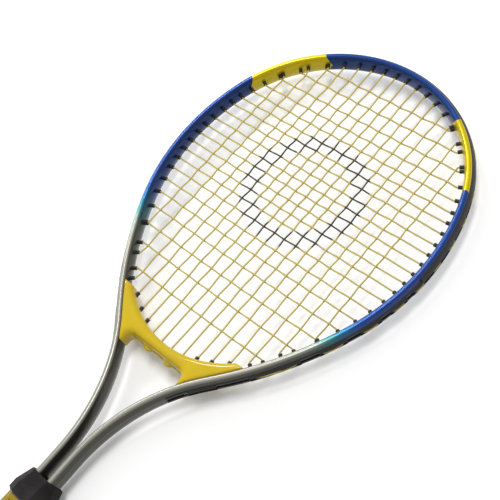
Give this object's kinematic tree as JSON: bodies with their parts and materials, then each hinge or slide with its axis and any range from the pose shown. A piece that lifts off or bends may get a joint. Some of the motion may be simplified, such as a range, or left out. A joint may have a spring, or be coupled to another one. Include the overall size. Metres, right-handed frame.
{
  "type": "tennis racket",
  "caption": "Junior tennis racket with a bent oval tube frame, moulded throat bridge, strung head and wrapped octagonal handle.",
  "frame": {"origin": "under the middle of the racket's box, on the surface it lies on", "axes": "+X across the head, +Y from the handle to the tip, +Z out of the string bed's front face"},
  "size_m": [0.2744, 0.6349, 0.035],
  "materials": {
    "frame": "satin lacquer, silver arms fading to blue at the tip",
    "black_plastic": "moulded black nylon",
    "bridge": "glossy moulded yellow plastic",
    "steel": "zinc plated",
    "string": "gold coloured nylon string",
    "shell": "moulded plastic",
    "cap": "moulded black plastic",
    "grip": "mustard yellow synthetic leather wrap",
    "tape": "adhesive tape",
    "collar": "dark soft rubber"
  },
  "bodies": {
    "root": {"frame_tube": "frame", "tube_plugs": "black_plastic", "throat_bridge": "bridge", "bridge_pins": "steel", "bridge_grommets": "black_plastic", "head_bumper": "black_plastic", "side_strip_left": "black_plastic", "side_strip_right": "black_plastic", "main_strings": "string", "cross_strings": "string", "string_knots": "string", "handle_shell_front": "shell", "handle_shell_back": "shell", "handle_screws": "steel", "butt_cap": "cap", "grip_wrap": "grip", "finishing_tape": "tape", "rubber_collar": "collar"}
  },
  "joints": []
}
